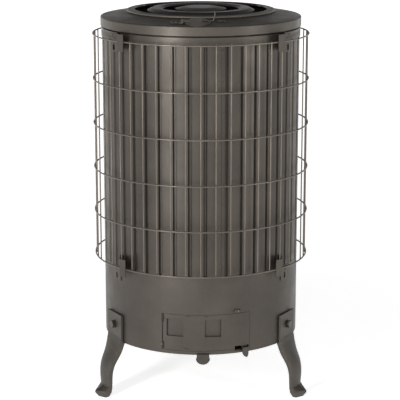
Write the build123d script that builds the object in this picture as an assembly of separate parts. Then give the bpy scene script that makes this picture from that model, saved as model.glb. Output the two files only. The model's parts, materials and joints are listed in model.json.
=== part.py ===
from build123d import *
from math import atan2, cos, degrees, pi, radians, sin
import os

# Free-standing round kerosene heater. Millimetres. The origin is on the floor at the
# drum's axis, +Z is up and -Y is the front. An azimuth is measured from the front,
# positive towards +X.

# Driving dimensions of the case
BODY_R = 170.0          # outer radius of the sheet-metal drum and of the jacket's flats
SHEET = 1.2             # thickness of the case's sheet metal
RIM_Z = 98.6            # lower edge of the drum, which the legs hold off the floor
WAIST_Z = 234.0         # where the corrugated jacket stands on the lower drum
HOOP_Z = 621.5          # lower edge of the plain hoop round the jacket's top
HOOP_TOP_Z = 637.0
SKIRT_Z = 639.6         # lower edge of the cap's skirt
CAP_EDGE_Z = 655.0      # where the skirt turns into the cap's cone
CAP_R = 172.6           # outer radius of the skirt
CAP_SLOPE = 9.8         # slope of the cone, degrees
VENT_R = 125.6          # radius of the bead round the vent cover

# Guard cage
GUARD_R = 186.0         # centreline radius of the rings
RING_WIRE_R = 1.3
UPRIGHT_WIRE_R = 1.1
TOP_RING_Z = 625.5
RING_PITCH = 77.3
RING_COUNT = 6
UPRIGHT_COUNT = 46

# Corrugated jacket
FLUTE_PITCH = 8.7       # degrees from groove to groove
FLUTE_MOUTH = 2.0       # width of a groove's mouth, degrees
FLUTE_DEPTH = 4.4
FIRST_FLUTE = 14.5      # azimuth of the first groove after the plain seam panel
FLUTE_COUNT = 41
SEAM_AZ = 11.5          # azimuth of the joint in the seam panel

# Service door, in the front of the lower drum
DOOR_LEFT, DOOR_RIGHT = -22.4, 29.4
DOOR_Z0, DOOR_Z1 = 105.0, 168.8
DOOR_GAP = 0.45
DOOR_HINGE_GAP = 1.0    # wider on the hinge side, so that the door's edge swings clear
WINDOWS = ((-19.9, -10.2), (2.3, 11.7))
WINDOW_Z0, WINDOW_Z1 = 130.0, 160.2
SLOT_LEFT, SLOT_RIGHT = 19.8, 28.6   # notch for the shutter's lever
SLOT_TOP_Z, SLOT_BOTTOM_Z = 110.8, 102.4
BUTTON_AZ, BUTTON_Z = 22.3, 172.9
BUTTON_RIVET_R = 1.48
HINGE_PIN_R, KNUCKLE_R = 0.95, 1.9
HINGE_R = BODY_R - 0.9
HINGE_AZ = DOOR_LEFT + 0.1
HINGE_ZS = (DOOR_Z0 + 8.0, DOOR_Z1 - 8.0)
GUIDES = ((-7.2, DOOR_Z1 - 2.6), (3.0, DOOR_Z1 - 2.6), (-8.4, DOOR_Z0 + 4.6))
SHUTTER_R = 166.6       # outer radius of the shutter, behind the door
SHUTTER_T = 1.0
LEVER_AZ = 26.0         # azimuth of the lever's finger piece
SHUTTER_Z0, SHUTTER_Z1 = DOOR_Z0 + 5.6, DOOR_Z1 - 3.6

# Legs and clips
LEG_AZIMUTHS = {"leg_front_left": -60.0, "leg_front_right": 60.0, "leg_rear": 180.0}
PAD_W, PAD_T, PAD_TOP_Z = 50.0, 3.6, 148.4
LEG_BOLT_Z, LEG_BOLT_R = 127.5, 4.0
WASHER_R, WASHER_T = 7.2, 1.4
CLIP_T = 1.4
CLIP_RIVET_R = 1.52
CLIP_LIP = (42.6, 47.0)             # azimuths of the lip outside the guard
CLIP_FOOT = (53.4, 61.0)            # azimuths of the foot on the case
CLIP_EYE_AZ, CLIP_EYE_H, CLIP_EYE_W = 57.2, 11.0, 7.0
CLIP_RIVET_AZ = 58.2
REAR_CLIP_TURN = 129.0
CLIP_RIVET_AZIMUTHS = (CLIP_RIVET_AZ, -CLIP_RIVET_AZ, CLIP_RIVET_AZ + REAR_CLIP_TURN)
UPPER_RIVET_Z, LOWER_RIVET_Z = 630.0, 228.0
RIVET_INSET = 4.0

# Burner, tank and tray, inside the drum
FLOOR_Z = 100.6         # underside of the base plate
BASE_TOP_Z = FLOOR_Z + 1.5
TANK_R, TANK_Z0, TANK_Z1 = 118.0, BASE_TOP_Z, 146.0
DRAUGHT_R = 32.0        # outer radius of the inner draught tube
WICK_R, WICK_T = 34.6, 3.4
WICK_Z0, WICK_Z1 = 112.0, 196.0
TUBE_TOP_Z = 198.0
WICK_IN, WICK_OUT = WICK_R - WICK_T / 2, WICK_R + WICK_T / 2
TUBE_IN = WICK_OUT + 0.6
RACK_LINE = WICK_OUT + 2.2          # distance of the rack's pitch line from the axis
KNOB_Z = 162.0          # height of the wick raiser's spindle
KNOB_X = 62.0
SPINDLE_R = 2.0
PINION_R = 5.0          # pitch radius of the pinion
PINION_TEETH = 8
RACK_SLOT = 4.4                     # half width of the slot that the rack runs in
TRAY_R, TRAY_Z0, TRAY_Z1 = 106.0, 91.6, 98.0
TRAY_HALF_W = 50.0      # the tray's straight sides, which pass between lever and leg
TRAY_FLANGE = 4.0
TONGUE_W, TONGUE_AZ = 24.0, 1.2
FILLER_X, FILLER_Y = 62.0, -72.0

# Lighting port in the cap; the x positions lie across the port, from its centre
PORT_R, PORT_AZ, PORT_COVER_R = 150.0, -2.0, 21.0
PORT_HOLE_R = 15.0
PORT_HINGE_X = -(PORT_COVER_R + 4.0)
PORT_SCREW_XS = (PORT_HINGE_X - 7.0, PORT_HINGE_X - 14.5)
SCREW_R = 1.5
CATCH_R, CATCH_AZ = 143.0, 14.4

parts = {}


def save(name, *shapes):
    """Keep the solids of one sub-part under its node name."""
    solids = [solid for shape in shapes for solid in shape.solids()]
    parts[name] = solids


def polar(r, azimuth):
    """Point in plan at a radius and an azimuth from the front."""
    return (r * sin(radians(azimuth)), -r * cos(radians(azimuth)))


def turn(azimuth, shape):
    """Turn a shape drawn at the front to its azimuth."""
    return Rot(0, 0, azimuth) * shape


def tube(r_out, r_in, z0, z1):
    return extrude(Plane.XY.offset(z0) * (Circle(r_out) - Circle(r_in)), amount=z1 - z0)


def disc(r, z0, z1):
    return extrude(Plane.XY.offset(z0) * Circle(r), amount=z1 - z0)


def sector(r_out, r_in, z0, z1, a0, a1):
    """Part of a tube wall between two azimuths."""
    mid = (a0 + a1) / 2
    outer = ThreePointArc(polar(r_out, a0), polar(r_out, mid), polar(r_out, a1))
    inner = ThreePointArc(polar(r_in, a1), polar(r_in, mid), polar(r_in, a0))
    edges = [outer, Line(outer @ 1, inner @ 0), inner, Line(inner @ 1, outer @ 0)]
    return extrude(Plane.XY.offset(z0) * make_face(edges), amount=z1 - z0)


def block(x0, x1, y0, y1, z0, z1):
    return Pos((x0 + x1) / 2, (y0 + y1) / 2, (z0 + z1) / 2) * Box(x1 - x0, y1 - y0, z1 - z0)


def turned(*points):
    """Solid of revolution about the drum's axis from (r, z) points."""
    return revolve(make_face(Plane.XZ * Polyline(*points, close=True)), Axis.Z)


def radial_rod(azimuth, z, r0, r1, radius):
    """Round rod lying along a radius of the drum."""
    rod = Pos(0, -r0, z) * Rot(90, 0, 0) * Cylinder(
        radius, r1 - r0, align=(Align.CENTER, Align.CENTER, Align.MIN))
    return turn(azimuth, rod)


def upright_rod(x, y, z0, z1, radius):
    return Pos(x, y, z0) * Cylinder(radius, z1 - z0, align=(Align.CENTER, Align.CENTER, Align.MIN))


def dome_arc(radius, base, height):
    """Arc of a dome centred on the axis, from its rim up to its top."""
    ball = (radius ** 2 + height ** 2) / (2 * height)
    half = atan2(radius, ball - height) / 2
    middle = (ball * sin(half), base + height - ball + ball * cos(half))
    return ThreePointArc((radius, base), middle, (0, base + height))


def rivet(azimuth, z, r0, r1, shank, head, height):
    """Domed rivet along a radius: its shank starts at r0 and its head stands out from r1."""
    base = r1 - r0
    profile = make_face([Line((0, 0), (shank, 0)), Line((shank, 0), (shank, base)),
                         Line((shank, base), (head, base)), dome_arc(head, base, height),
                         Line((0, base + height), (0, 0))])
    body = revolve(Plane.XZ * profile, Axis.Z)
    return turn(azimuth, Pos(0, -r0, z) * Rot(90, 0, 0) * body)


def cone_z(r):
    """Height of the cap's outer cone at a radius."""
    return CAP_EDGE_Z + (CAP_R - r) * sin(radians(CAP_SLOPE)) / cos(radians(CAP_SLOPE))


# ---------------------------------------------------------------- case

def lower_drum():
    shell = tube(BODY_R, BODY_R - SHEET, RIM_Z, WAIST_Z)
    inner, outer = BODY_R - 5, BODY_R + 5
    hinge_side = DOOR_LEFT - degrees(DOOR_HINGE_GAP / BODY_R)
    shell -= sector(outer, inner, DOOR_Z0, DOOR_Z1, hinge_side, DOOR_RIGHT)
    shell -= sector(outer, inner, SLOT_BOTTOM_Z, DOOR_Z0 + 1, SLOT_LEFT, SLOT_RIGHT)
    for azimuth in LEG_AZIMUTHS.values():
        shell -= radial_rod(azimuth, LEG_BOLT_Z, inner, outer, LEG_BOLT_R + 0.2)
    hinge_x, hinge_y = polar(HINGE_R, HINGE_AZ)
    for z in HINGE_ZS:
        shell -= upright_rod(hinge_x, hinge_y, z - 6.6, z + 6.6, KNUCKLE_R + 0.5)
    shell -= radial_rod(BUTTON_AZ, BUTTON_Z, inner, outer, BUTTON_RIVET_R + 0.02)
    for azimuth in CLIP_RIVET_AZIMUTHS:
        shell -= radial_rod(azimuth, LOWER_RIVET_Z, inner, outer, CLIP_RIVET_R + 0.03)
    save("lower_drum", shell)


def waist_ring():
    """Angle ring inside the drum's top, whose flange carries the jacket."""
    outer, inner = BODY_R - SHEET - 0.15, BODY_R - 2 * SHEET - 0.15
    save("waist_ring", turned((inner, 222), (outer, 222), (outer, WAIST_Z), (BODY_R, WAIST_Z),
                              (BODY_R, WAIST_Z + SHEET), (162, WAIST_Z + SHEET),
                              (162, WAIST_Z), (inner, WAIST_Z)))


def corrugated_profile(offset):
    """Edges of one side of the jacket's sheet, from the joint all the way round to it."""
    crest, root = BODY_R - offset, BODY_R - FLUTE_DEPTH - offset
    mouth, bottom = FLUTE_MOUTH / 2, FLUTE_MOUTH / 5
    edges = []
    at = SEAM_AZ + 0.1
    for index in range(FLUTE_COUNT):
        centre = FIRST_FLUTE + index * FLUTE_PITCH
        start = centre - mouth
        edges.append(ThreePointArc(polar(crest, at), polar(crest, (at + start) / 2),
                                   polar(crest, start)))
        edges.append(Line(polar(crest, start), polar(root, centre - bottom)))
        edges.append(Line(polar(root, centre - bottom), polar(root, centre + bottom)))
        edges.append(Line(polar(root, centre + bottom), polar(crest, centre + mouth)))
        at = centre + mouth
    end = SEAM_AZ + 360 - 0.1
    edges.append(ThreePointArc(polar(crest, at), polar(crest, (at + end) / 2), polar(crest, end)))
    return edges


def corrugated_jacket():
    outer, inner = corrugated_profile(0), corrugated_profile(1.0)
    ends = [Line(outer[0] @ 0, inner[0] @ 0), Line(outer[-1] @ 1, inner[-1] @ 1)]
    face = make_face(outer + inner + ends)
    base = WAIST_Z + SHEET
    sheet = extrude(Plane.XY.offset(base) * face, amount=HOOP_TOP_Z - SHEET - base)
    strap_r = BODY_R - 1.05
    strap = sector(strap_r, strap_r - 1.0, base, 630, SEAM_AZ - 2.4, SEAM_AZ + 1.6)
    rivets = []
    for row in range(8):
        z = base + 20 + row * (360 / 7)
        for azimuth in (SEAM_AZ - 1.3, SEAM_AZ + 0.9):
            hole = radial_rod(azimuth, z, BODY_R - 6, BODY_R + 4, 1.25)
            sheet -= hole
            strap -= hole
            rivets.append(rivet(azimuth, z, strap_r - 1.0, BODY_R + 0.02, 1.23, 2.0, 0.6))
    save("corrugated_jacket", sheet)
    save("jacket_seam_strap", strap)
    save("jacket_seam_rivets", *rivets)


def top_hoop():
    """Plain band round the jacket's top with an in-turned flange and an upright collar."""
    outer, inner = BODY_R + 0.1 + SHEET, BODY_R + 0.1
    hoop = turned((inner, HOOP_Z), (outer, HOOP_Z), (outer, HOOP_TOP_Z - 0.4),
                  (outer - 0.4, HOOP_TOP_Z), (164.4, HOOP_TOP_Z),
                  (164.4, HOOP_TOP_Z - SHEET), (inner, HOOP_TOP_Z - SHEET))
    for azimuth in CLIP_RIVET_AZIMUTHS:
        hoop -= radial_rod(azimuth, UPPER_RIVET_Z, inner - 0.05, outer + 4, CLIP_RIVET_R + 0.03)
    save("top_hoop", hoop)
    seat = cone_z(165.8) - SHEET * 1.2
    save("cap_collar", turned((164.6, HOOP_TOP_Z), (165.8, HOOP_TOP_Z), (165.8, seat),
                              (164.6, seat)))


def cap():
    """Lift-off top: a skirt, a rounded edge and a low cone up to the vent opening."""
    outer = make_face(Plane.XZ * Polyline(
        (CAP_R, SKIRT_Z), (CAP_R, CAP_EDGE_Z), (VENT_R - 8, cone_z(VENT_R - 8)),
        (VENT_R - 8, cone_z(VENT_R - 8) - SHEET), (CAP_R - SHEET, CAP_EDGE_Z - SHEET * 0.9),
        (CAP_R - SHEET, SKIRT_Z), close=True))
    shell = revolve(outer, Axis.Z)
    edge = [e for e in shell.edges() if abs(e.center().Z - CAP_EDGE_Z) < 0.2
            and abs(e.radius - CAP_R) < 0.2]
    shell = fillet(edge, 2.2)
    shell -= port_hole()
    seat = on_cone(PORT_AZ, PORT_R).location
    for x in PORT_SCREW_XS:
        shell -= seat * Pos(x, 0, 0) * Cylinder(SCREW_R + 0.02, 12)
    shell -= on_cone(CATCH_AZ, CATCH_R).location * Cylinder(SCREW_R + 0.02, 12)
    save("cap", shell)


# ---------------------------------------------------------------- port in the cap

def on_cone(azimuth, r, lift=0.0):
    """Frame lying on the cone: its x is tangential, its y points uphill, its z out."""
    x, y = polar(r, azimuth)
    down = Vector(*polar(cos(radians(CAP_SLOPE)), azimuth), -sin(radians(CAP_SLOPE)))
    tangent = Vector(cos(radians(azimuth)), sin(radians(azimuth)), 0)
    normal = down.cross(tangent)
    normal = normal if normal.Z > 0 else -normal
    return Plane(origin=Vector(x, y, cone_z(r)) + normal * lift, x_dir=tangent, z_dir=normal)


def port_hole():
    return on_cone(PORT_AZ, PORT_R, -6).location * Cylinder(PORT_HOLE_R, 12)


def dish(radius, thickness):
    """Shallow pressed disc with a down-turned edge."""
    profile = make_face(Polyline((0, 2.6), (radius - 3.4, 2.6), (radius, 0.5), (radius, 0.0),
                                 (radius - 1.2, 0.0), (radius - 3.8, 2.6 - thickness),
                                 (0, 2.6 - thickness), close=True))
    return revolve(Plane.XZ * profile, Axis.Z)


def port():
    """Hinged cover over the lighting port, its hinge, handle and screws."""
    seat = on_cone(PORT_AZ, PORT_R, 0.25).location
    right = on_cone(CATCH_AZ, CATCH_R, 0.25).location
    x = PORT_HINGE_X
    save("port_cover", seat * dish(PORT_COVER_R, 1.0))
    bore = Pos(x, 0, 1.9) * Rot(90, 0, 0) * Cylinder(1.0, 30)
    running_bore = Pos(x, 0, 1.9) * Rot(90, 0, 0) * Cylinder(1.06, 30)
    ear = block(x, -PORT_COVER_R + 10, -4.4, 4.4, 2.65, 3.75)
    eye = Pos(x, 0, 1.9) * Rot(90, 0, 0) * Cylinder(1.9, 8.8)
    save("port_cover_eye", seat * (ear + eye - running_bore))
    leaf = block(x - 19.0, x - 2.7, -4.6, 4.6, 0.0, 1.1)
    for y in (-6.6, 6.6):
        leaf += Pos(x, y, 1.9) * Rot(90, 0, 0) * Cylinder(1.9, 3.2)
        leaf += block(x - 4.0, x, y - 1.6, y + 1.6, 0.0, 1.1)
        leaf += block(x - 4.0, x - 2.7, min(0, y), max(0, y), 0.0, 1.1)
    for screw_x in PORT_SCREW_XS:
        leaf -= Pos(screw_x, 0, 0) * Cylinder(SCREW_R + 0.02, 6)
    save("port_hinge_leaf", seat * (leaf - bore))
    save("port_hinge_pin", seat * Pos(x, 0, 1.9) * Rot(90, 0, 0) * Cylinder(1.0, 17))
    screws = [seat * (Pos(screw_x, 0, 1.1) * pan_screw(2.6, 1.5)) for screw_x in PORT_SCREW_XS]
    screws.append(right * (Pos(0, 0, 1.1) * pan_screw(2.6, 1.5)))
    save("port_screws", *screws)
    catch = block(-9.0, 4.0, -3.0, 3.0, 0.0, 1.1) - Cylinder(SCREW_R + 0.02, 6)
    save("port_catch", right * catch)
    save("port_handle", seat * port_handle())


def pan_screw(radius, height):
    """Pan-head screw with a slot, head upwards, shank through the sheet."""
    profile = make_face([Line((0, -3.4), (SCREW_R, -3.4)), Line((SCREW_R, -3.4), (SCREW_R, 0)),
                         Line((SCREW_R, 0), (radius, 0)), dome_arc(radius, 0, height),
                         Line((0, height), (0, -3.4))])
    body = revolve(Plane.XZ * profile, Axis.Z)
    return body - Pos(0, 0, height) * Box(2 * radius, 0.7, height * 0.9)


def port_handle():
    """Bent wire riveted near the cover's right edge and standing up as a finger pull."""
    x = PORT_COVER_R + 5.0
    path = FilletPolyline((x - 19, 0, 3.62), (x, 0, 3.62), (x + 2.6, 0, 15.0),
                          (x + 0.6, 0, 18.6), radius=2.0)
    section = Plane(origin=path @ 0, z_dir=path % 0) * Circle(1.0)
    return sweep(section, path=path)


# ---------------------------------------------------------------- vent cover

def vent_cover():
    """Louvred hot-air outlet: a beaded rim, a ridge ring and a centre dome on four ribs."""
    low = cone_z(VENT_R + 1) + 0.1
    high = cone_z(VENT_R - 12) + 0.1
    save("vent_rim", turned(
        (VENT_R - 12, high + 0.2), (VENT_R - 8, high - 0.6), (VENT_R + 1, low),
        (VENT_R + 2.2, low + 1.0), (VENT_R + 1.6, low + 2.6), (VENT_R - 0.2, low + 3.2),
        (VENT_R - 2.4, low + 2.4), (VENT_R - 7.6, high + 0.7), (VENT_R - 11.6, high + 1.5)))
    ridge = ((91.0, high - 1.6), (92.0, high - 1.0), (84.0, high + 3.0), (72.0, high + 3.4),
             (64.5, high + 0.8), (65.2, high - 0.1), (72.2, high + 2.2), (83.6, high + 1.8))
    save("vent_ridge_ring", turned(*ridge))
    save("vent_dome", turned((0, high + 5.0), (30, high + 4.2), (43.6, high + 1.0), (43.0, high),
                             (29.8, high + 3.0), (0, high + 3.8)))
    bars = []
    for azimuth in (45, 135, 225, 315):
        bar = block(-1.5, 1.5, -(VENT_R - 9.0), -8, high - 7.5, high - 1.8)
        for r0, r1, top in ((VENT_R - 12.0, VENT_R - 9.0, 0.2), (66, 90, 3.0), (12, 42, 4.0)):
            bar += block(-1.5, 1.5, -r1, -r0, high - 2.5, high + top)
        bars.append(turn(azimuth, bar))
    ribs = tube(9.5, 6.5, high - 7.5, high - 1.8)
    for bar in bars:
        ribs += bar
    ribs -= turned((VENT_R - 12, high + 0.1), (VENT_R - 8, high - 0.7), (VENT_R + 1, low),
                   (130, high + 9), (VENT_R - 12, high + 9))
    ribs -= turned((91.0, high - 1.7), (83.6, high + 1.7), (72.2, high + 2.1), (65.2, high - 0.2),
                   (60, high - 0.2), (60, high + 8), (95, high + 8), (95, high - 1.7))
    ribs -= turned((0, high + 3.7), (29.8, high + 2.9), (43.0, high - 0.1), (50, high - 0.1),
                   (50, high + 8), (0, high + 8))
    save("vent_ribs", ribs)
    plate = turned((0, high - 10.2), (104, high - 10.2), (112, high - 13), (112, high - 14),
                   (103.6, high - 11.2), (0, high - 11.2))
    for azimuth in (45, 135, 225, 315):
        plate += turn(azimuth, upright_rod(0, -80, high - 10.4, high - 7.5, 1.5))
    save("vent_baffle", plate)


# ---------------------------------------------------------------- guard cage

def guard():
    upright_r = GUARD_R - RING_WIRE_R - UPRIGHT_WIRE_R + 0.1
    bottom_z = TOP_RING_Z - (RING_COUNT - 1) * RING_PITCH
    for index in range(RING_COUNT):
        z = TOP_RING_Z - index * RING_PITCH
        save(f"guard_ring_{index + 1}", Pos(0, 0, z) * Torus(GUARD_R, RING_WIRE_R))
    wires = []
    for index in range(UPRIGHT_COUNT):
        x, y = polar(upright_r, index * 360 / UPRIGHT_COUNT)
        wires.append(upright_rod(x, y, bottom_z - 2.0, TOP_RING_Z + 2.0, UPRIGHT_WIRE_R))
    save("guard_uprights", *wires)


def clip(side, body_r, ring_z, lip_z, foot_z):
    """Bent strap from a foot on the case to a lip outside a guard ring, with an open eye."""
    lip_r = GUARD_R + RING_WIRE_R + 0.05
    z0, z1 = lip_z
    lip_edge, foot_edge = CLIP_LIP[1], CLIP_FOOT[0]
    lip = sector(lip_r + CLIP_T, lip_r, z0, z1, *CLIP_LIP)
    corners = [polar(lip_r + CLIP_T, lip_edge - 0.1), polar(body_r + CLIP_T, foot_edge + 0.4),
               polar(body_r, foot_edge), polar(lip_r, lip_edge - 0.7)]
    web = extrude(Plane.XY.offset(z0) * make_face(Polyline(*corners, close=True)), amount=z1 - z0)
    web -= tube(GUARD_R + 1.5, GUARD_R - 1.5, ring_z - 1.6, ring_z + 1.6)
    foot = sector(body_r + CLIP_T, body_r, *foot_z, *CLIP_FOOT)
    strap = lip + web + foot
    strap -= radial_rod(CLIP_RIVET_AZ, foot_z[1] - RIVET_INSET, body_r - 5, body_r + 10,
                        CLIP_RIVET_R + 0.08)
    eye = Pos(0, -(body_r - 1), foot_z[0] + CLIP_EYE_H / 2 + 2.4) * Rot(90, 0, 0) * extrude(
        Plane.XY * (Rot(0, 0, 90) * SlotOverall(CLIP_EYE_H, CLIP_EYE_W)), amount=6)
    strap -= turn(CLIP_EYE_AZ, eye)
    return strap if side > 0 else mirror(strap, about=Plane.YZ)


def guard_clips():
    bottom_z = TOP_RING_Z - (RING_COUNT - 1) * RING_PITCH
    levels = (
        (BODY_R + SHEET + 0.15, TOP_RING_Z, (609.5, 638.0),
         (UPPER_RIVET_Z - 26, UPPER_RIVET_Z + RIVET_INSET)),
        (BODY_R + 0.05, bottom_z, (226.0, 256.0),
         (LOWER_RIVET_Z - 18, LOWER_RIVET_Z + RIVET_INSET)),
    )
    straps, rivets = [], []
    for body_r, ring_z, lip_z, foot_z in levels:
        for side, spin in ((1, 0), (-1, 0), (1, REAR_CLIP_TURN)):
            straps.append(Rot(0, 0, spin) * clip(side, body_r, ring_z, lip_z, foot_z))
            rivets.append(rivet(side * CLIP_RIVET_AZ + spin, foot_z[1] - RIVET_INSET,
                                body_r - 1.3, body_r + CLIP_T + 0.05, CLIP_RIVET_R, 2.9, 1.3))
    save("guard_clips", *straps)
    save("guard_clip_rivets", *rivets)


# ---------------------------------------------------------------- legs

def leg_section(z, inner, outer, crown, width):
    """Level section of a leg: flat back, crowned front; radii are those of its side edges."""
    half = width / 2
    return Plane.XY.offset(z) * make_face([
        Line((-half, -inner), (-half, -outer)),
        ThreePointArc((-half, -outer), (0, -(outer + crown)), (half, -outer)),
        Line((half, -outer), (half, -inner)), Line((half, -inner), (-half, -inner))])


def foot_section(z, heel, heel_w, side, side_w, toe):
    """Five-cornered section of the hoof with its point towards the toe."""
    points = [(-heel_w / 2, -heel), (heel_w / 2, -heel), (side_w / 2, -side), (0, -toe),
              (-side_w / 2, -side)]
    return Plane.XY.offset(z) * make_face(Polyline(*points, close=True))


def leg():
    """Cabriole casting drawn at the front: bolted pad, broad knee, crowned shank and hoof."""
    pad_r = BODY_R + 0.1
    face_r = pad_r + PAD_T
    under = RIM_Z - 0.3
    pad = block(-PAD_W / 2, PAD_W / 2, -face_r, -pad_r, RIM_Z + 3.5, PAD_TOP_Z)
    pad -= Pos(0, -pad_r, LEG_BOLT_Z) * Rot(90, 0, 0) * Cylinder(LEG_BOLT_R + 0.2, 20)
    neck = loft([leg_section(RIM_Z + 8.0, pad_r, face_r, 0.2, PAD_W - 0.4),
                 leg_section(under, pad_r, face_r + 2.2, 1.2, 48.0)], ruled=True)
    shank = loft([leg_section(*station) for station in (    # z, inner, outer, crown, width
        (under, 165.5, face_r + 2.2, 1.2, 48.0), (90.0, 168.0, 178.2, 3.0, 45.2),
        (80.0, 171.6, 181.4, 4.4, 43.2), (70.0, 177.0, 185.8, 5.0, 41.2),
        (60.0, 182.3, 190.4, 5.0, 38.6), (50.0, 185.6, 193.1, 4.9, 36.4),
        (40.0, 187.0, 194.1, 4.6, 34.8), (30.0, 187.2, 194.1, 4.2, 33.4),
        (20.0, 187.2, 193.8, 3.8, 32.0), (14.0, 187.4, 194.6, 3.6, 31.6))])
    foot = loft([foot_section(*station) for station in (    # z, heel, width, side, width, toe
        (20.0, 187.4, 30, 193.4, 31.6, 197.4), (12.0, 187.8, 30, 199.0, 34, 213.0),
        (8.5, 188.2, 30, 199.5, 34, 213.0), (0.0, 192.0, 24, 199.0, 27, 206.0))], ruled=True)
    return pad + neck + shank + foot


def legs():
    whole = leg()
    bolts, nuts, washers = [], [], []
    face_r = BODY_R + 0.1 + PAD_T
    for name, azimuth in LEG_AZIMUTHS.items():
        save(name, turn(azimuth, whole))
        washers.append(radial_rod(azimuth, LEG_BOLT_Z, face_r, face_r + WASHER_T, WASHER_R)
                       - radial_rod(azimuth, LEG_BOLT_Z, face_r - 1, face_r + 3, LEG_BOLT_R + 0.05))
        hexagon = extrude(Plane.XY * RegularPolygon(6.5, 6), amount=4.6)
        head = turn(azimuth, Pos(0, -(face_r + WASHER_T), LEG_BOLT_Z) * Rot(90, 0, 0) * hexagon)
        bolts.append(radial_rod(azimuth, LEG_BOLT_Z, BODY_R - 12, face_r + WASHER_T + 0.1,
                                LEG_BOLT_R - 0.05) + head)
        nut_r = BODY_R - SHEET - 6.5
        nut = turn(azimuth, Pos(0, -nut_r, LEG_BOLT_Z) * Rot(90, 0, 0)
                   * extrude(Plane.XY * RegularPolygon(7.2, 6), amount=6.2))
        nuts.append(nut - radial_rod(azimuth, LEG_BOLT_Z, nut_r - 2, nut_r + 8, LEG_BOLT_R - 0.05))
    save("leg_washers", *washers)
    save("leg_bolts", *bolts)
    save("leg_nuts", *nuts)


# ---------------------------------------------------------------- service door

def service_door():
    gap = degrees(DOOR_GAP / BODY_R)
    door = sector(BODY_R, BODY_R - SHEET, DOOR_Z0 + DOOR_GAP, DOOR_Z1 - DOOR_GAP,
                  DOOR_LEFT + gap, DOOR_RIGHT - gap)
    for a0, a1 in WINDOWS:
        door -= sector(BODY_R + 5, BODY_R - 5, WINDOW_Z0, WINDOW_Z1, a0, a1)
    door -= sector(BODY_R + 5, BODY_R - 5, DOOR_Z0 - 5, SLOT_TOP_Z, SLOT_LEFT, SLOT_RIGHT)
    hinge_x, hinge_y = polar(HINGE_R, HINGE_AZ)
    for z in HINGE_ZS:
        door -= upright_rod(hinge_x, hinge_y, z - 6.6, z + 6.6, KNUCKLE_R + 0.8)
    for azimuth, z in GUIDES:
        door -= sector(BODY_R + 5, BODY_R - 5, z - 0.9, z + 0.9, azimuth - 1.3, azimuth + 1.3)
    save("service_door", door)


def door_hinges():
    """Two knuckle hinges at the door's left edge: leaves, knuckles and pins."""
    x, y = polar(HINGE_R, HINGE_AZ)
    pins, drum_leaves, door_leaves = [], [], []
    inner = BODY_R - SHEET - 0.05
    for z in HINGE_ZS:
        pins.append(upright_rod(x, y, z - 6.4, z + 6.4, HINGE_PIN_R))
        for low, high, leaves, side in ((-6.2, -2.2, drum_leaves, -1), (-2.0, 2.0, door_leaves, 1),
                                        (2.2, 6.2, drum_leaves, -1)):
            bore = HINGE_PIN_R if side < 0 else HINGE_PIN_R + 0.07
            knuckle = upright_rod(x, y, z + low, z + high, KNUCKLE_R)
            a0, a1 = sorted((HINGE_AZ, HINGE_AZ + side * 4.2))
            leaf = sector(inner, inner - 0.9, z + low, z + high, a0, a1)
            piece = knuckle + leaf - upright_rod(x, y, z - 9, z + 9, bore)
            leaves.append(piece)
    joined = []
    for index, z in enumerate(HINGE_ZS):
        bridge = sector(inner, inner - 0.9, z - 6.2, z + 6.2, HINGE_AZ - 6.4, HINGE_AZ - 4.0)
        joined.append(bridge + drum_leaves[2 * index] + drum_leaves[2 * index + 1])
    save("door_hinge_pins", *pins)
    save("door_hinge_leaves_drum", *joined)
    save("door_hinge_leaves_door", *door_leaves)


def turn_button():
    """Turn button above the door, turned aside: swung down, it holds the door's edge."""
    r = BODY_R + 0.4
    wing = Pos(-3.5, -r, BUTTON_Z) * Rot(90, 0, 0) * extrude(
        Plane.XY * SlotCenterToCenter(7.0, 6.0), amount=1.4)
    wing -= Pos(0, -r, BUTTON_Z) * Rot(90, 0, 0) * Cylinder(BUTTON_RIVET_R + 0.07, 10)
    save("turn_button", turn(BUTTON_AZ, wing))
    save("turn_button_rivet", rivet(BUTTON_AZ, BUTTON_Z, BODY_R - 1.9, r + 1.5,
                                    BUTTON_RIVET_R, 2.7, 1.6))


def air_shutter():
    """Curved plate behind the door that covers both windows, with a lever below the rim."""
    inner = SHUTTER_R - SHUTTER_T
    left, right = WINDOWS[0][0] - 0.5, 28.2
    plate = sector(SHUTTER_R, inner, SHUTTER_Z0, SHUTTER_Z1, left, right)
    for a0, a1 in WINDOWS:
        plate -= sector(SHUTTER_R + 5, inner - 5, WINDOW_Z0 - 2, WINDOW_Z1 + 1, a1 + 0.6, a1 + 10.0)
    stem = sector(SHUTTER_R, inner, 107.2, SHUTTER_Z0 + 0.5, 24.4, 28.2)
    arm = sector(BODY_R + 4.0, inner, 106.2, 107.6, 24.4, 28.2)
    save("air_shutter", plate + stem + arm + finger_lever())
    clips = []
    for azimuth, z in GUIDES:
        up = 1 if z > 140 else -1
        clips.append(guide_clip(azimuth, z, up))
    save("shutter_guides", *clips)


def finger_lever():
    """Flat finger lever outside the rim, widest at the top and rounded at its tip."""
    r = BODY_R + 2.6
    top, shoulder, tip = 107.6, 98.0, 89.4
    outline = make_face([Line((-5.8, top), (5.8, top)), Line((5.8, top), (5.6, shoulder)),
                         ThreePointArc((5.6, shoulder), (4.9, tip + 3.6), (2.6, tip)),
                         ThreePointArc((2.6, tip), (-2.4, tip + 3.2), (-5.8, shoulder)),
                         Line((-5.8, shoulder), (-5.8, top))])
    face = Plane(origin=(0, -r, 0), x_dir=(1, 0, 0), z_dir=(0, -1, 0)) * outline
    return turn(LEVER_AZ, extrude(face, amount=1.4))


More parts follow.
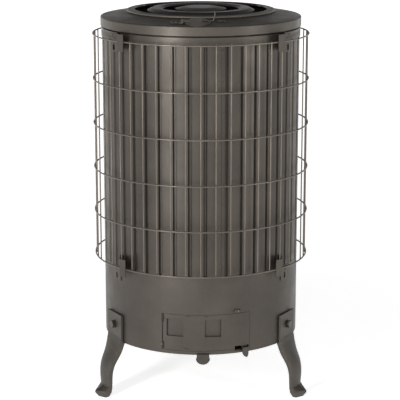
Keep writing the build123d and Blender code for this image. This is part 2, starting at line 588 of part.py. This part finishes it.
def guide_clip(azimuth, z, up):
    """Small strap through a slot in the door that holds the shutter's edge."""
    a0, a1 = azimuth - 1.2, azimuth + 1.2
    edge_z = SHUTTER_Z1 if up > 0 else SHUTTER_Z0
    stem = sector(BODY_R - 0.3, SHUTTER_R - 2.8, z - 0.8, z + 0.8, a0, a1)
    lo, hi = sorted((z + 0.8 * up, edge_z - 4.0 * up))
    back = sector(SHUTTER_R - SHUTTER_T - 0.4, SHUTTER_R - SHUTTER_T - 1.4, lo, hi, a0, a1)
    lo2, hi2 = sorted((z + 0.8 * up, z - 2.2 * up))
    head = sector(BODY_R - SHEET - 0.05, BODY_R - SHEET - 0.9, lo2, hi2, a0, a1)
    return stem + back + head


# ---------------------------------------------------------------- base, tank, burner

def base_plate():
    plate = disc(BODY_R - SHEET - 0.2, FLOOR_Z, BASE_TOP_Z)
    plate -= disc(DRAUGHT_R - 3, FLOOR_Z - 2, FLOOR_Z + 4)
    for azimuth in range(0, 360, 30):
        plate -= turn(azimuth, upright_rod(0, -140, FLOOR_Z - 2, FLOOR_Z + 4, 9))
    lip = tube(BODY_R - SHEET - 0.2, BODY_R - 2 * SHEET - 0.2, BASE_TOP_Z, BASE_TOP_Z + 2.2)
    save("base_plate", plate + lip)


def tray_parts():
    """Drip tray with a folded pull tongue, and the rails that it slides on."""
    back = 96.0
    wall = 1.2
    flange_z = TRAY_Z1 - wall
    well = tray_outline(-wall, back - wall)
    pan = extrude(Plane.XY.offset(TRAY_Z0) * tray_outline(0, back), amount=TRAY_Z1 - TRAY_Z0)
    pan += extrude(Plane.XY.offset(flange_z) * tray_outline(TRAY_FLANGE, back), amount=wall)
    front = BODY_R + 1.8
    half = TONGUE_W / 2
    pan += turn(TONGUE_AZ, block(-half + 1.4, half - 1.4, -(front + 0.4), -(TRAY_R - 2),
                                 flange_z, TRAY_Z1))
    pan -= extrude(Plane.XY.offset(TRAY_Z0 + wall) * well, amount=TRAY_Z1)
    save("drip_tray", pan + turn(TONGUE_AZ, pull_tongue(front)))
    low_z = flange_z - 0.1 - wall
    rails = []
    for side in (-1, 1):
        x0 = TRAY_HALF_W + 0.6
        x1 = TRAY_HALF_W + TRAY_FLANGE + 1.7
        rail = block(x0, x1, -70, 100, low_z, low_z + wall)
        rail += block(x1 - wall, x1, -70, 100, low_z, FLOOR_Z)
        rail += block(x1 - wall, x1 + 7, -70, 100, FLOOR_Z - wall, FLOOR_Z)
        rails.append(rail if side > 0 else mirror(rail, about=Plane.YZ))
    save("tray_rails", *rails)


def tray_outline(margin, back):
    """Plan of the tray: straight sides and back, front edge on a circle; margin widens it."""
    half = TRAY_HALF_W + margin
    radius = TRAY_R + margin
    side_y = -(radius ** 2 - half ** 2) ** 0.5
    return make_face([ThreePointArc((-half, side_y), (0, -radius), (half, side_y)),
                      Line((half, side_y), (half, back)), Line((half, back), (-half, back)),
                      Line((-half, back), (-half, side_y))])


def pull_tongue(front):
    """Tab in front of the rim, with a rolled upper edge, a waist and a round lower end."""
    half = TONGUE_W / 2
    neck = half - 1.4
    top, wide, low = 99.6, 91.0, 82.4
    outline = make_face([Line((-neck, top), (neck, top)), Line((neck, top), (neck, top - 4.2)),
                         ThreePointArc((neck, top - 4.2), (half - 0.4, wide + 2), (half, wide)),
                         ThreePointArc((half, wide), (0, low), (-half, wide)),
                         ThreePointArc((-half, wide), (-half + 0.4, wide + 2), (-neck, top - 4.2)),
                         Line((-neck, top - 4.2), (-neck, top))])
    face = Plane(origin=(0, -front, 0), x_dir=(1, 0, 0), z_dir=(0, -1, 0)) * outline
    roll = Pos(0, -(front + 0.9), top) * Rot(0, 90, 0) * Cylinder(1.3, 2 * neck)
    return extrude(face, amount=1.8) + roll


def fuel_tank():
    """Ring-shaped closed tank on the base plate, with filler neck and screw cap."""
    wall = 1.2
    bore, mouth = DRAUGHT_R + 0.05, TUBE_IN + SHEET + 0.05
    tank = turned((bore, TANK_Z0), (TANK_R - 4, TANK_Z0), (TANK_R, TANK_Z0 + 4),
                  (TANK_R, TANK_Z1 - 6), (TANK_R - 6, TANK_Z1), (mouth, TANK_Z1),
                  (mouth, TANK_Z1 - wall), (TANK_R - 6.6, TANK_Z1 - wall),
                  (TANK_R - wall, TANK_Z1 - 6.6), (TANK_R - wall, TANK_Z0 + 4.5),
                  (TANK_R - 4.4, TANK_Z0 + wall), (bore, TANK_Z0 + wall))
    tank -= block(-RACK_SLOT, RACK_SLOT, -(RACK_LINE + 2.5), -DRAUGHT_R, TANK_Z1 - 3, TANK_Z1 + 3)
    tank -= upright_rod(FILLER_X, FILLER_Y, TANK_Z1 - 5, TANK_Z1 + 5, 10.2)
    save("fuel_tank", tank)
    neck = (upright_rod(FILLER_X, FILLER_Y, TANK_Z1 - 4, TANK_Z1 + 8, 10.0)
            - upright_rod(FILLER_X, FILLER_Y, TANK_Z1 - 5, TANK_Z1 + 12, 8.8))
    collar = (upright_rod(FILLER_X, FILLER_Y, TANK_Z1 + 0.1, TANK_Z1 + 1.3, 13.5)
              - upright_rod(FILLER_X, FILLER_Y, TANK_Z1 - 1, TANK_Z1 + 5, 9.9))
    save("filler_neck", neck + collar)
    lid = upright_rod(FILLER_X, FILLER_Y, TANK_Z1 + 2.0, TANK_Z1 + 10.4, 12.2)
    lid -= upright_rod(FILLER_X, FILLER_Y, TANK_Z1 + 1.0, TANK_Z1 + 8.2, 10.4)
    for index in range(16):
        angle = radians(index * 22.5)
        x, y = FILLER_X + 12.5 * cos(angle), FILLER_Y + 12.5 * sin(angle)
        lid -= upright_rod(x, y, TANK_Z1 + 1, TANK_Z1 + 9.0, 0.9)
    save("filler_cap", lid)


def burner():
    """Round-wick burner: draught tube, outer tube, wick, gallery, spreader and chimney."""
    save("draught_tube", tube(DRAUGHT_R, DRAUGHT_R - 1.2, BASE_TOP_Z, TUBE_TOP_Z))
    wall = tube(TUBE_IN + 1.2, TUBE_IN, TANK_Z1 - 2.8, TUBE_TOP_Z - 2)
    flange = tube(TUBE_IN + 13, TUBE_IN + 0.6, TANK_Z1, TANK_Z1 + 1.4)
    slot = block(-RACK_SLOT, RACK_SLOT, -(RACK_LINE + 2.5), -(TUBE_IN - 3),
                 TANK_Z1 - 5, KNOB_Z + 26)
    save("outer_wick_tube", wall + flange - slot)
    save("wick", tube(WICK_OUT, WICK_IN, WICK_Z0 + 6, WICK_Z1))
    save("wick_carrier", tube(WICK_OUT, WICK_IN, WICK_Z0, WICK_Z0 + 5.9) + rack_bar())
    hub = TUBE_IN + 1.3
    gallery = turned((hub, 170), (62, 176), (66, 182), (66, 187), (64.8, 187), (64.8, 182.6),
                     (61.4, 177.4), (hub, 171.4))
    for azimuth in range(15, 375, 30):
        gallery -= turn(azimuth, upright_rod(0, -52, 165, 185, 4.5))
    gallery -= block(-5, 5, -46, -(TUBE_IN - 2), 165, 190)
    save("burner_gallery", gallery)
    stem = tube(29.6, 28.4, 176, 206)
    for azimuth in range(0, 360, 30):
        for z in (203, 194):
            stem -= radial_rod(azimuth, z, 20, 40, 1.8)
    stem += tube(31.8, 28.5, TUBE_TOP_Z, TUBE_TOP_Z + 1)
    top = turned((0, 214), (30, 214), (42, 217), (42, 218), (29.8, 215.2), (0, 215.2))
    for azimuth in (15, 105, 195, 285):
        stem += turn(azimuth, block(-2.5, 2.5, -29.4, -28.4, 205, 214.5))
    save("flame_spreader", stem + top)
    pipe = turned((63.8, 183.2), (63.8, 184.4), (60.4, 184.6), (60.4, 212), (56, 224), (56, 404),
                  (54.8, 404), (54.8, 223.6), (59.2, 211.6), (59.2, 183.2))
    save("chimney", pipe)


def rack_bar():
    """Toothed bar on the carrier's front, in mesh with the pinion."""
    pitch = 2 * pi * PINION_R / PINION_TEETH
    face_y, tip_y = -(RACK_LINE - 1.2), -(RACK_LINE + 1.0)
    bar = block(-2.0, 2.0, face_y, -(WICK_OUT - 1.5), WICK_Z0, KNOB_Z + 8)
    bar -= disc(WICK_OUT + 0.2, WICK_Z0 + 5.9, KNOB_Z + 30)
    for index in range(-6, 2):
        z = KNOB_Z + (index + 0.5) * pitch
        points = [(face_y, z - 0.75), (face_y, z + 0.75), (tip_y, z + 0.4), (tip_y, z - 0.4)]
        face = make_face(Plane.YZ.offset(-2.0) * Polyline(*points, close=True))
        bar += extrude(face, amount=4.0)
    return bar


def wick_raiser():
    """Cross spindle with its pinion, the bracket and post that carry it, and the knob."""
    y = -(RACK_LINE + PINION_R)
    rod = Pos(-12, y, KNOB_Z) * Rot(0, 90, 0) * Cylinder(
        SPINDLE_R, KNOB_X + 14, align=(Align.CENTER, Align.CENTER, Align.MIN))
    wheel = Circle(3.6)
    for index in range(PINION_TEETH):
        tooth = make_face(Polyline((3.0, -0.95), (6.0, -0.35), (6.0, 0.35), (3.0, 0.95),
                                   close=True))
        wheel += Rot(0, 0, index * 360 / PINION_TEETH) * tooth
    end_plane = Plane(origin=(-1.9, y, KNOB_Z), x_dir=(0, 1, 0), z_dir=(1, 0, 0))
    pinion = extrude(end_plane * wheel, amount=3.8)
    save("wick_spindle", rod + pinion)
    bracket = None
    for x in (-8.6, 5.0):
        ear = block(x, x + 3.6, y - 4.5, -(TUBE_IN + 0.4), KNOB_Z - 5, KNOB_Z + 5)
        bracket = ear if bracket is None else bracket + ear
    bracket += block(-8.6, 8.6, y - 8.0, y - 7.0, KNOB_Z - 5, KNOB_Z + 5)
    for x in (-8.6, 5.0):
        bracket += block(x, x + 3.6, y - 7.5, y - 4.0, KNOB_Z - 5, KNOB_Z + 5)
    bracket -= disc(TUBE_IN + 1.25, KNOB_Z - 9, KNOB_Z + 9)
    bore = Pos(0, y, KNOB_Z) * Rot(0, 90, 0) * Cylinder(SPINDLE_R + 0.05, 200)
    save("raiser_bracket", bracket - bore)
    post = block(44, 46.4, y - 5, y + 5, TANK_Z1, KNOB_Z + 5)
    post += block(44, 54, y - 5, y + 5, TANK_Z1, TANK_Z1 + 1.4)
    save("spindle_post", post - bore)
    knob = Pos(KNOB_X, y, KNOB_Z) * Rot(0, 90, 0) * Cylinder(
        11.5, 11, align=(Align.CENTER, Align.CENTER, Align.MIN))
    knob = chamfer(knob.edges().filter_by(GeomType.CIRCLE), 1.2)
    for index in range(14):
        angle = 2 * pi * index / 14
        centre = Pos(0, y + 12.4 * cos(angle), KNOB_Z + 12.4 * sin(angle))
        knob -= centre * Rot(0, 90, 0) * Cylinder(1.6, 300)
    knob -= Pos(KNOB_X - 1, y, KNOB_Z) * Rot(0, 90, 0) * Cylinder(
        SPINDLE_R, 9, align=(Align.CENTER, Align.CENTER, Align.MIN))
    save("wick_knob", knob)


def main():
    os.makedirs("parts", exist_ok=True)
    lower_drum()
    waist_ring()
    corrugated_jacket()
    top_hoop()
    cap()
    port()
    vent_cover()
    guard()
    guard_clips()
    legs()
    service_door()
    door_hinges()
    turn_button()
    air_shutter()
    base_plate()
    tray_parts()
    fuel_tank()
    burner()
    wick_raiser()
    for name, solids in parts.items():
        export_step(Compound(solids), f"parts/{name}.step")


main()
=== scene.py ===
"""Looks of a free-standing round kerosene heater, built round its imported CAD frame."""
import json
from math import cos, radians, sin

import bpy
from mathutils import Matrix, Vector


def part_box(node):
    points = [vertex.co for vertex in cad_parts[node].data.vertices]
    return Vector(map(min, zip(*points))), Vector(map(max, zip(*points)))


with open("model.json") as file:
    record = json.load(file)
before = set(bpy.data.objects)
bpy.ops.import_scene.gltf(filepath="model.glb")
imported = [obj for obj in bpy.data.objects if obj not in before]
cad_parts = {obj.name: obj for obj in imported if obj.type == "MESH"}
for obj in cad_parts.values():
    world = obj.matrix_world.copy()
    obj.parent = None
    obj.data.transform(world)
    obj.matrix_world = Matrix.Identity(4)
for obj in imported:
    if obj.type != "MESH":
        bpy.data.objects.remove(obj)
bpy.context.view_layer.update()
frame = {"nodes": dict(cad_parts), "record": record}


# ---------------------------------------------------------------- node helpers

def map_range(tree, source, low, high, to_low, to_high):
    """Carry a value from one range to another, held at both ends."""
    node = tree.nodes.new("ShaderNodeMapRange")
    node.inputs["From Min"].default_value = low
    node.inputs["From Max"].default_value = high
    node.inputs["To Min"].default_value = to_low
    node.inputs["To Max"].default_value = to_high
    tree.links.new(source, node.inputs["Value"])
    return node.outputs["Result"]


class Shader:
    """A principled material with short calls for the nodes that these materials share."""

    def __init__(self, name, colour, roughness, metallic=0.0):
        self.material = bpy.data.materials.new(name)
        self.material.use_nodes = True
        self.tree = self.material.node_tree
        self.surface = self.tree.nodes["Principled BSDF"]
        self.surface.inputs["Base Color"].default_value = (*colour, 1.0)
        self.surface.inputs["Roughness"].default_value = roughness
        self.surface.inputs["Metallic"].default_value = metallic
        self.coords = self.tree.nodes.new("ShaderNodeTexCoord").outputs["Object"]

    def link(self, source, node, socket):
        self.tree.links.new(source, node.inputs[socket])

    def scaled(self, x, y, z):
        node = self.tree.nodes.new("ShaderNodeMapping")
        node.inputs["Scale"].default_value = (x, y, z)
        self.link(self.coords, node, "Vector")
        return node.outputs["Vector"]

    def noise(self, scale, detail=3.0, roughness=0.55, vector=None):
        node = self.tree.nodes.new("ShaderNodeTexNoise")
        node.inputs["Scale"].default_value = scale
        node.inputs["Detail"].default_value = detail
        node.inputs["Roughness"].default_value = roughness
        self.link(vector or self.coords, node, "Vector")
        return node.outputs["Fac"]

    def ramp(self, source, *stops):
        node = self.tree.nodes.new("ShaderNodeValToRGB")
        elements = node.color_ramp.elements
        while len(elements) < len(stops):
            elements.new(0.5)
        for element, (position, colour) in zip(elements, stops):
            element.position = position
            element.color = (*colour, 1.0) if isinstance(colour, tuple) else (colour,) * 3 + (1.0,)
        self.link(source, node, "Fac")
        return node.outputs["Color"]

    def remap(self, source, low, high, to_low, to_high):
        return map_range(self.tree, source, low, high, to_low, to_high)

    def distance(self, vector=None):
        """Length of a vector; by default the distance from the object's origin."""
        node = self.tree.nodes.new("ShaderNodeVectorMath")
        node.operation = "LENGTH"
        self.link(vector or self.coords, node, 0)
        return node.outputs["Value"]

    def height(self):
        node = self.tree.nodes.new("ShaderNodeSeparateXYZ")
        self.link(self.coords, node, 0)
        return node.outputs["Z"]

    def mix(self, factor, first, second, mode="MIX"):
        """Mix two colours; each input is a socket, a colour or a number."""
        node = self.tree.nodes.new("ShaderNodeMix")
        node.data_type = "RGBA"
        node.blend_type = mode
        factor_input, first_input, second_input, colour_output = 0, 6, 7, 2
        for socket, value in ((factor_input, factor), (first_input, first), (second_input, second)):
            if isinstance(value, bpy.types.NodeSocket):
                self.tree.links.new(value, node.inputs[socket])
            elif isinstance(value, tuple):
                node.inputs[socket].default_value = (*value, 1.0)
            else:
                node.inputs[socket].default_value = value
        return node.outputs[colour_output]

    def bump(self, height, strength, distance, before=None):
        node = self.tree.nodes.new("ShaderNodeBump")
        node.inputs["Strength"].default_value = strength
        node.inputs["Distance"].default_value = distance
        self.link(height, node, "Height")
        if before is not None:
            self.link(before, node, "Normal")
        return node.outputs["Normal"]

    def paint(self, colour=None, roughness=None, normal=None):
        if colour is not None:
            self.link(colour, self.surface, "Base Color")
        if roughness is not None:
            self.link(roughness, self.surface, "Roughness")
        if normal is not None:
            self.link(normal, self.surface, "Normal")
        return self.material


def tint(colour, factor):
    return tuple(min(1.0, channel * factor) for channel in colour)


# ---------------------------------------------------------------- materials

PAINTED_SHADE_FADE = 0.004        # height over which the painted shade on the cap's top comes in
BEAD_HIGHLIGHT_FADE = 0.001         # width over which the painted highlight on the vent's bead comes in


def baked_enamel(name, colour, roughness=0.42, metallic=0.45, streaks=0.0, painted_shade_above=None,
                 painted_highlight_beyond=None):
    """Dark baked-on coating over sheet steel: cloudy tone, fine orange peel, faint dust.

    It can take painted shade above a height, and a painted highlight beyond a radius from the
    heater's axis.
    """
    shader = Shader(name, colour, roughness, metallic)
    shader.surface.inputs["Specular IOR Level"].default_value = 0.35
    clouds = shader.noise(9.0, 4.0, 0.6)
    speckle = shader.noise(420.0, 2.0, 0.5)
    dull, bright = tint(colour, 0.74), tint(colour, 1.28)
    tone = shader.ramp(clouds, (0.32, dull), (0.55, colour), (0.74, bright))
    tone = shader.mix(shader.remap(speckle, 0.6, 0.72, 0.0, 0.35), tone, tint(colour, 1.5))
    if streaks:
        run = shader.noise(30.0, 3.0, 0.5, shader.scaled(1.0, 1.0, 0.06))
        tone = shader.mix(shader.remap(run, 0.5, 0.75, 0.0, streaks), tone, tint(colour, 1.35))
    # painted shade: above the given height the tone is darkened, standing in for the dimmer light
    # on the cap's top
    if painted_shade_above is not None:
        top_shade = shader.remap(shader.height(), painted_shade_above, painted_shade_above + PAINTED_SHADE_FADE, 0.0, 1.0)
        tone = shader.mix(top_shade, tone, shader.mix(1.0, tone, (0.72, 0.72, 0.72), "MULTIPLY"))
    # painted highlight: a bright ring beyond the given radius, standing in for light caught on the
    # vent's outer bead
    if painted_highlight_beyond is not None:
        radius = shader.distance(shader.scaled(1.0, 1.0, 0.0))
        bead_highlight = shader.remap(radius, painted_highlight_beyond, painted_highlight_beyond + BEAD_HIGHLIGHT_FADE, 0.0, 1.0)
        tone = shader.mix(bead_highlight, tone, tint(colour, 5.0))
    gloss = shader.remap(shader.noise(26.0, 3.0, 0.6), 0.3, 0.7, roughness - 0.06, roughness + 0.08)
    peel = shader.bump(shader.noise(520.0, 3.0, 0.6), 0.3, 0.0003)
    dents = shader.bump(shader.noise(14.0, 1.0, 0.4), 0.12, 0.0015, peel)
    return shader.paint(tone, gloss, dents)


def cast_iron(name, colour):
    """Painted casting: pebbled skin from the sand mould and rubbed, lighter high places."""
    shader = Shader(name, colour, 0.5, metallic=0.3)
    clouds = shader.noise(38.0, 4.0, 0.65)
    tone = shader.ramp(clouds, (0.3, tint(colour, 0.8)), (0.55, colour), (0.75, tint(colour, 1.25)))
    rubbed = shader.ramp(shader.noise(70.0, 4.0, 0.6), (0.6, 0.0), (0.78, 1.0))
    red, green, blue = tint(colour, 1.25)
    tone = shader.mix(rubbed, tone, (red * 1.25, green * 1.1, blue * 0.95))
    gloss = shader.remap(clouds, 0.3, 0.7, 0.42, 0.6)
    sand = shader.bump(shader.noise(380.0, 3.0, 0.6), 0.35, 0.0006)
    return shader.paint(tone, gloss, shader.bump(shader.noise(60.0, 2.0, 0.5), 0.2, 0.0012, sand))


def bare_steel(name, colour, roughness=0.34, rust=0.3):
    """Worn plated steel with fine scratches and a breath of rust."""
    shader = Shader(name, colour, roughness, metallic=0.9)
    stain = shader.noise(120.0, 4.0, 0.65)
    tone = shader.ramp(stain, (0.35, tint(colour, 0.75)), (0.6, colour), (0.8, tint(colour, 1.2)))
    spots = shader.remap(shader.noise(300.0, 4.0, 0.7), 0.58, 0.75, 0.0, rust)
    tone = shader.mix(spots, tone, (0.16, 0.07, 0.03))
    scratches = shader.noise(500.0, 2.0, 0.5, shader.scaled(1.0, 1.0, 0.12))
    gloss = shader.remap(scratches, 0.3, 0.7, roughness - 0.08, roughness + 0.14)
    return shader.paint(tone, gloss, shader.bump(scratches, 0.12, 0.0003))


def aged_brass(name, colour, roughness):
    """Lacquered brass gone brown in the hollows."""
    shader = Shader(name, colour, roughness, metallic=1.0)
    stain = shader.noise(45.0, 5.0, 0.65)
    tone = shader.ramp(stain, (0.3, tint(colour, 0.45)), (0.5, tint(colour, 0.8)), (0.7, colour))
    gloss = shader.remap(stain, 0.3, 0.7, roughness + 0.18, roughness)
    return shader.paint(tone, gloss, shader.bump(shader.noise(350.0, 2.0, 0.5), 0.08, 0.0003))


def woven_cotton(name, colour):
    """Wick fabric: a tight plain weave, lightly sooted."""
    shader = Shader(name, colour, 0.95)
    waves = []
    for scale in ((0.0, 0.0, 1.0), (0.7, 0.7, 0.0)):
        node = shader.tree.nodes.new("ShaderNodeTexWave")
        node.inputs["Scale"].default_value = 300.0
        shader.link(shader.scaled(*scale), node, "Vector")
        waves.append(node.outputs["Fac"])
    weave = shader.mix(0.5, waves[0], waves[1], "MULTIPLY")
    soot = shader.remap(shader.noise(60.0), 0.45, 0.7, 0.0, 0.6)
    tone = shader.mix(soot, colour, tint(colour, 0.35))
    return shader.paint(tone, None, shader.bump(weave, 0.5, 0.0005))


def plain_floor(name):
    """Pale matt studio floor, faintly mottled, that glows a little more away from the object."""
    shader = Shader(name, (0.9, 0.9, 0.9), 0.9)
    tone = shader.ramp(shader.noise(1.5, 2.0), (0.3, 0.93), (0.7, 0.95))
    shader.surface.inputs["Specular IOR Level"].default_value = 0.1
    shader.surface.inputs["Emission Color"].default_value = (1.0, 1.0, 1.0, 1.0)
    glow = shader.remap(shader.distance(), 0.5, 4.0, 0.72, 1.05)
    shader.link(glow, shader.surface, "Emission Strength")
    return shader.paint(tone, None, None)


SKIRT_HEIGHT = 0.0144    # from the cap's lower edge up to the foot of its cone
BEAD_WIDTH = 0.0043      # the outer bead of the vent's rim
CONE_FOOT_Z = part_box("cap")[0].z + SKIRT_HEIGHT
BEAD_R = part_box("vent_rim")[1].x - BEAD_WIDTH
CASE_GREY = (0.066, 0.057, 0.047)
MATERIALS = {
    "drum_enamel": baked_enamel("drum_enamel", CASE_GREY, 0.42),
    "jacket_enamel": baked_enamel("jacket_enamel", CASE_GREY, 0.38, streaks=0.5),
    # the cap's cone is darkened above its foot as painted shade for its dimly lit top
    "cap_enamel": baked_enamel("cap_enamel", tint(CASE_GREY, 1.12), 0.42, painted_shade_above=CONE_FOOT_Z),
    # the vent is a darker copy of the case grey: painted shade for its dimly lit top faces
    "vent_enamel": baked_enamel("vent_enamel", tint(CASE_GREY, 0.45), 0.42, 0.4,
                                # painted highlight on the vent's outer bead
                                painted_highlight_beyond=BEAD_R),
    "port_steel": baked_enamel("port_steel", tint(CASE_GREY, 1.7), 0.3),
    # the guard wires are a lighter copy of the case grey: painted highlight for light caught along
    # the wires
    "guard_wire": baked_enamel("guard_wire", tint(CASE_GREY, 2.3), 0.34, 0.6),
    "clip_steel": baked_enamel("clip_steel", tint(CASE_GREY, 1.15), 0.32, 0.6),
    "leg_iron": cast_iron("leg_iron", tint(CASE_GREY, 0.9)),
    "fastener_steel": bare_steel("fastener_steel", (0.11, 0.098, 0.085)),
    "inner_steel": baked_enamel("inner_steel", tint(CASE_GREY, 0.6), 0.6),
    "shutter_steel": baked_enamel("shutter_steel", tint(CASE_GREY, 0.95), 0.46),
    "tank_steel": baked_enamel("tank_steel", (0.16, 0.155, 0.14), 0.4),
    "burner_brass": aged_brass("burner_brass", (0.55, 0.4, 0.18), 0.3),
    "knob_brass": aged_brass("knob_brass", (0.62, 0.46, 0.2), 0.22),
    "wick_cotton": woven_cotton("wick_cotton", (0.7, 0.64, 0.52)),
}


def dress_cad_nodes():
    """Give each CAD node the material of its slot in the record."""
    for entry in frame["record"]["subparts"]:
        node = frame["nodes"][entry["node"]]
        node.data.materials.clear()
        node.data.materials.append(MATERIALS[entry["material_slot"]])


# ---------------------------------------------------------------- stage

def stage():
    """Floor wide enough that its edge is lost in the white of the horizon."""
    mesh = bpy.data.meshes.new("floor")
    half = 60.0
    mesh.from_pydata([(-half, -half, 0), (half, -half, 0), (half, half, 0), (-half, half, 0)], [],
                     [(0, 1, 2, 3)])
    floor = bpy.data.objects.new("floor", mesh)
    floor.data.materials.append(plain_floor("floor_matt"))
    bpy.context.collection.objects.link(floor)


def area_light(name, power, size, height, place, target):
    """Upright rectangular lamp at a place, turned to face its target."""
    light = bpy.data.lights.new(name, "AREA")
    light.shape = "RECTANGLE"
    light.size = size
    light.size_y = height
    light.energy = power
    lamp = bpy.data.objects.new(name, light)
    lamp.location = place
    lamp.rotation_euler = (Vector(target) - Vector(place)).to_track_quat("-Z", "Y").to_euler()
    bpy.context.collection.objects.link(lamp)


def world_glow():
    """Studio surround: a white band at the horizon, dimmer overhead and towards the front."""
    world = bpy.data.worlds.new("studio")
    bpy.context.scene.world = world
    world.use_nodes = True
    tree = world.node_tree
    direction = tree.nodes.new("ShaderNodeTexCoord").outputs["Generated"]
    parts = tree.nodes.new("ShaderNodeSeparateXYZ")
    tree.links.new(direction, parts.inputs[0])
    overhead = map_range(tree, parts.outputs["Z"], 0.0, 0.6, 1.0, 0.4)
    forward = map_range(tree, parts.outputs["Y"], -0.6, 0.7, 0.3, 0.4)
    surround = tree.nodes.new("ShaderNodeMath")
    surround.operation = "MULTIPLY"
    tree.links.new(overhead, surround.inputs[0])
    tree.links.new(forward, surround.inputs[1])
    horizon = map_range(tree, parts.outputs["Z"], 0.1, 0.3, 0.62, 0.0)
    total = tree.nodes.new("ShaderNodeMath")
    total.operation = "ADD"
    tree.links.new(surround.outputs["Value"], total.inputs[0])
    tree.links.new(horizon, total.inputs[1])
    back = tree.nodes["Background"]
    back.inputs["Color"].default_value = (1.0, 1.0, 1.0, 1.0)
    tree.links.new(total.outputs["Value"], back.inputs["Strength"])


LAMP_HEIGHT = 1.5
LAMP_TARGET = (0, 0, 0.35)
LAMPS = (   # name, watts, width, azimuth from the front, distance, height of its middle
    ("key_left", 37.0, 0.32, -34.0, 2.4, 0.85),
    ("side_right", 12.0, 0.35, 60.0, 2.4, 0.8),
    ("rim_left", 2.0, 0.5, -150.0, 2.4, 0.9),
    ("front_soft", 13.0, 1.6, 5.0, 3.6, 1.6),
)


def lights():
    for name, power, width, azimuth, distance, height in LAMPS:
        place = (distance * sin(radians(azimuth)), -distance * cos(radians(azimuth)), height)
        area_light(name, power, width, LAMP_HEIGHT, place, LAMP_TARGET)


CAMERA_PLACE = (-0.0014, -2.65, 0.9475)
CAMERA_TIP = 13.15       # degrees below the level
LENS_MM, SENSOR_MM = 138.6, 36.0


def camera():
    """Long lens, well in front of the heater and looking down on it."""
    lens = bpy.data.cameras.new("camera")
    lens.sensor_width = SENSOR_MM
    lens.lens = LENS_MM
    lens.clip_end = 80.0
    view = bpy.data.objects.new("camera", lens)
    view.location = CAMERA_PLACE
    view.rotation_euler = (radians(90.0 - CAMERA_TIP), 0.0, 0.0)
    bpy.context.collection.objects.link(view)
    bpy.context.scene.camera = view
    bpy.context.scene.view_settings.view_transform = "Standard"


camera()
world_glow()
lights()
stage()
dress_cad_nodes()
